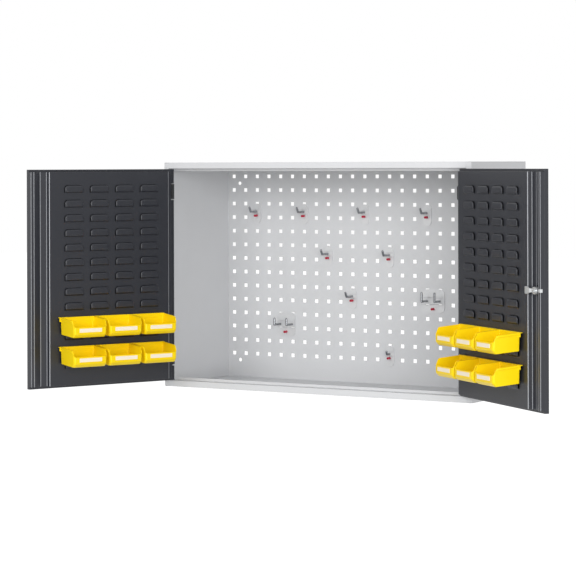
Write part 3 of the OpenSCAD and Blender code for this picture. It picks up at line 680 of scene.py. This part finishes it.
def moulded_plastic(name, dark, pale, roughness):
    """Injection moulded plastic: a fine spark-eroded grain under a soft gloss."""
    finish, tree, where = surface(name)
    drift = add_node(tree, "ShaderNodeTexNoise", {"Scale": 1 / (40 * MM), "Detail": 2.0},
                     [("Vector", where)])
    colour = add_node(tree, "ShaderNodeMix", {"data_type": "RGBA", 6: linear(dark), 7: linear(pale)},
                      [(0, drift.outputs["Fac"])])
    grain = add_node(tree, "ShaderNodeTexNoise", {"Scale": 1 / (0.7 * MM), "Detail": 2.0},
                     [("Vector", where)])
    bump = add_node(tree, "ShaderNodeBump", {"Strength": 0.35, "Distance": 0.02 * MM},
                    [("Height", grain.outputs["Fac"])])
    plastic = add_node(tree, "ShaderNodeBsdfPrincipled",
                       {"IOR": 1.49, "Roughness": roughness, "Specular IOR Level": 0.25},
                       [("Base Color", colour.outputs[2]), ("Normal", bump.outputs["Normal"])])
    add_node(tree, "ShaderNodeOutputMaterial", {}, [("Surface", plastic.outputs[0])])
    return finish


BIN_W = 99.0
BIN_BACK = 5.6
BIN_D = 76.0
BIN_FOOT_D = 69.0
BIN_H = 44.5
BIN_FOOT_DROP = 5.5
BIN_FRONT_TOP = -23.0
BIN_SIDE_FALL = 0.1
BIN_MOUTH_Y = 64.5
BIN_TAPER = 1.5
BIN_WALL = 1.8
BIN_BEVEL_H = 9.0
BIN_RIM_W = 105.0
BIN_RIM_H = 11.0
BIN_RIM_T = 1.8
BIN_REAR_R = 3.5
BIN_FRONT_R = 6.0
TAB_BACK = 0.62
TAB_FRONT = 1.9
TAB_H = 10.0
TAB_LEAST = 6.0
BAND_PROUD = 1.2
BAND_END = 68.5
BAND_FADE = 8.5
RAIL_T = 1.2
BIN_PITCH = 106.5
BIN_X0 = 115.5
BIN_TOP = (201.0, 125.0)
BINS_PER_ROW = 3
BINS_PER_DOOR = 6
LABEL_W = 66.0
LABEL_H = 10.0
LABEL_FOOT = -36.0


def plan_ring(half, back, front, rear_r, front_r):
    """Plan view of a bin as one ring of (x, y), with more points where its sides bend down."""
    corners = [(half - front_r, front - front_r, front_r, 0), (front_r - half, front - front_r, front_r, 90),
               (rear_r - half, back + rear_r, rear_r, 180), (half - rear_r, back + rear_r, rear_r, 270)]
    ring = []
    for index, (cx, cy, radius, start) in enumerate(corners):
        for step in range(7):
            angle = math.radians(start + 15 * step)
            ring.append((cx + radius * math.cos(angle), cy + radius * math.sin(angle)))
        if index in (1, 3):
            ya = ring[-1][1]
            yb = (front - front_r) if index == 3 else (back + rear_r)
            shares = (0.35, 0.7, 0.84, 0.88, 0.92, 0.96) if index == 3 else (0.04, 0.08, 0.12, 0.16, 0.3, 0.65)
            ring += [((half if index == 3 else -half), ya + (yb - ya) * share) for share in shares]
    return ring


def bin_top(y):
    """Height of a bin's top edge at a depth: it falls a little, then curves down to the low front."""
    edge = -BIN_SIDE_FALL * (min(y, BIN_MOUTH_Y) - BIN_BACK) - 0.3
    share = min(max((y - BIN_MOUTH_Y) / (BIN_D - BIN_MOUTH_Y), 0), 1)
    return edge + (BIN_FRONT_TOP - edge) * share * share * (3 - 2 * share)


def bin_shell():
    """The moulded tray of a bin: a rounded, tapering tub with a low front."""
    half = BIN_W / 2

    def foot(y):
        return -BIN_H - BIN_FOOT_DROP * (y - BIN_BACK) / (BIN_FOOT_D - BIN_BACK)

    rows = []
    for inset, lift, front in ((2.2, 0.0, BIN_FOOT_D), (0.7, 0.6, BIN_FOOT_D), (0.0, 2.2, BIN_FOOT_D + 1.2),
                               (0.0, BIN_BEVEL_H - 1.5, BIN_D - 0.9), (0.0, BIN_BEVEL_H + 0.8, BIN_D)):
        ring = plan_ring(half - BIN_TAPER - inset, BIN_BACK + inset, front - inset,
                         BIN_REAR_R - 0.5 * inset, BIN_FRONT_R - 0.5 * inset)
        rows.append([(x, y, foot(min(y, BIN_FOOT_D)) + lift) for x, y in ring])
    whole = plan_ring(half, BIN_BACK, BIN_D, BIN_REAR_R, BIN_FRONT_R)
    for share in (0.25, 0.5, 0.75, 0.94, 1.0):
        row = []
        for (_, _, z0), (x1, y1) in zip(rows[4], whole):
            z = z0 + (bin_top(y1) - z0) * share
            slack = BIN_TAPER * min(max(-z / (BIN_H + BIN_FOOT_DROP), 0), 1) / half
            row.append((x1 * (1 - slack), y1, z))
        rows.append(row)
    bm = bmesh.new()
    rings = [[bm.verts.new(point) for point in row] for row in rows]
    count = len(whole)
    bm.faces.new(list(reversed(rings[0])))
    for low, high in zip(rings, rings[1:]):
        for i in range(count):
            j = (i + 1) % count
            bm.faces.new((low[i], low[j], high[j], high[i]))
    mesh = mesh_of(bm, "bin_shell")
    mesh.transform(Matrix.Scale(MM, 4))
    mesh = thickened(mesh, BIN_WALL)
    mesh.transform(Matrix.Scale(1 / MM, 4))
    return mesh


def block(bm, low, high):
    """Adds a closed box between two corners."""
    x, y, z = [(low[i], high[i]) for i in range(3)]
    bmesh.ops.create_cube(bm, size=1, matrix=Matrix.Translation([sum(pair) / 2 for pair in (x, y, z)])
                          @ Matrix.Diagonal((x[1] - x[0], y[1] - y[0], z[1] - z[0], 1)))


def side_band(bm, side):
    """Adds the raised band that stiffens the top edge of one side wall."""
    depths = (9, 24, 42, 56, 61, 64, 66.5, BAND_END)
    rings = []
    for y in depths:
        proud = BAND_PROUD
        if y > BAND_END - BAND_FADE:
            proud *= max(BAND_END - y, 0.4) / BAND_FADE
        top = bin_top(y)
        inner = side * (BIN_W / 2 - 1.0)
        outer = side * (BIN_W / 2 + proud)
        rings.append([bm.verts.new(point) for point in ((inner, y, top - 0.1), (outer, y, top - 0.1),
                                                         (outer, y, top - 5), (inner, y, top - 6.4))])
    faces = [bm.faces.new(rings[0]), bm.faces.new(rings[-1])]
    for a, b in zip(rings, rings[1:]):
        for i in range(4):
            faces.append(bm.faces.new((a[i], a[(i + 1) % 4], b[(i + 1) % 4], b[i])))
    bmesh.ops.recalc_face_normals(bm, faces=faces)


def bin_fittings(bin_x):
    """Rear rim with its lip and tabs, side bands and card rails of a bin."""
    bm = bmesh.new()
    half = BIN_RIM_W / 2
    block(bm, (-half, BIN_BACK - 0.2, -BIN_RIM_H), (half, BIN_BACK + 2.5, 0))
    block(bm, (-half, 0.6, -BIN_RIM_T), (half, BIN_BACK, -0.02))
    slot_half = LOUVRE_W / 2 - LOUVRE_R - 0.6
    for column in range(LOUVRE_COLUMNS):
        centre = LOUVRE_X0 + column * LOUVRE_PITCH_X - bin_x
        low, high = max(-half, centre - slot_half), min(half, centre + slot_half)
        if high - low > TAB_LEAST:
            block(bm, (low, TAB_BACK, -TAB_H), (high, TAB_FRONT, -1))
    for z in (LABEL_FOOT - RAIL_T, LABEL_FOOT + LABEL_H):
        block(bm, (-LABEL_W / 2 - 2, BIN_D - 0.5, z), (LABEL_W / 2 + 2, BIN_D + RAIL_T, z + RAIL_T))
    for side in (-1, 1):
        side_band(bm, side)
    mesh = mesh_of(bm, "fittings")
    mesh.transform(Matrix.Scale(MM, 4))
    mesh = rounded(mesh, 0.35)
    mesh.transform(Matrix.Scale(1 / MM, 4))
    return mesh


yellow = moulded_plastic("yellow_polypropylene", "#fad604", "#fcdc0e", 0.34)
for side in ("left", "right"):
    for number in range(1, BINS_PER_DOOR + 1):
        node = "%s_bin_%d" % (side, number)
        bin_x = BIN_X0 + (number - 1) % BINS_PER_ROW * BIN_PITCH
        bm = bmesh.new()
        bm.from_mesh(bin_shell())
        bm.from_mesh(bin_fittings(bin_x))
        whole = mesh_of(bm, "moulded_bin")
        whole.transform(Matrix.Translation((bin_x, PANEL, BIN_TOP[(number - 1) // BINS_PER_ROW])))
        add_piece("moulded_" + node, placed(whole, side), yellow,
                  NODE_BODY[node], [node])

# ---------------------------------------------------------------- label cards
# A blank card of matt off-white board slides between the two rails on the
# front of each bin.


def card_board(name, dark, pale):
    """Uncoated board: matt, with a faint mottle from its fibres."""
    finish, tree, where = surface(name)
    fibre = add_node(tree, "ShaderNodeTexNoise", {"Scale": 1 / (1.5 * MM), "Detail": 5.0},
                     [("Vector", where)])
    colour = add_node(tree, "ShaderNodeMix", {"data_type": "RGBA", 6: linear(dark), 7: linear(pale)},
                      [(0, fibre.outputs["Fac"])])
    board = add_node(tree, "ShaderNodeBsdfPrincipled", {"Roughness": 0.85, "Specular IOR Level": 0.3},
                     [("Base Color", colour.outputs[2])])
    add_node(tree, "ShaderNodeOutputMaterial", {}, [("Surface", board.outputs[0])])
    return finish


card = card_board("off_white_card", "#f0e4cc", "#f7ecd6")
for side in ("left", "right"):
    for number in range(1, BINS_PER_DOOR + 1):
        node = "%s_label_%d" % (side, number)
        add_piece("blank_" + node, rounded(clean_copy(node), 0.1, 1), card,
                  NODE_BODY[node], [node])

# ---------------------------------------------------------------- hooks
# Zinc-plated hooks: a pressed plate whose lugs pass through the square
# holes, with a bare drawn rod welded on as the arm. The plates are matt and
# pale; a red plastic pin locks each one in place.
BRIDGE_FRONT = 5.5
WELD_GAP = 0.05
HOOK_EDGE = 0.3
HOOK_ANGLE = 40


def part_of(mesh, keep_front):
    """The rods in front of the hook plates' faces, or the plates behind, closed at the weld."""
    bm = bmesh.new()
    bm.from_mesh(mesh)
    cut_edges = bmesh.ops.bisect_plane(bm, geom=bm.verts[:] + bm.edges[:] + bm.faces[:],
                                       plane_co=(0, back_high.y - (BRIDGE_FRONT + WELD_GAP) * MM, 0),
                                       plane_no=(0, 1, 0), clear_outer=keep_front,
                                       clear_inner=not keep_front)["geom_cut"]
    bmesh.ops.holes_fill(bm, edges=[item for item in cut_edges if isinstance(item, bmesh.types.BMEdge)])
    bmesh.ops.recalc_face_normals(bm, faces=bm.faces)
    return mesh_of(bm, "part")


matt_zinc = zinc_plate("matt_zinc_plate", "#c9cacc", "#d6d7d8", 0.5, 0.25)
bare_rod = zinc_plate("drawn_steel_rod", "#8b8d90", "#9a9ca0", 0.3, 1.0)
for node in ["single_hook_%d" % i for i in range(1, 8)] + ["double_hook", "double_holder", "short_hook"]:
    hook = clean_copy(node)
    plate = rounded(part_of(hook, False), HOOK_EDGE, 2, HOOK_ANGLE)
    add_piece("plate_of_" + node, plate, matt_zinc, NODE_BODY[node], [node])
    add_piece("rod_of_" + node, part_of(hook, True), bare_rod, NODE_BODY[node])
red = moulded_plastic("red_locking_plastic", "#b8283f", "#c8324b", 0.4)
add_piece("red_locking_pins", rounded(clean_copy("hook_locking_pins"), HOOK_EDGE, 2, HOOK_ANGLE), red,
          NODE_BODY["hook_locking_pins"], ["hook_locking_pins"])
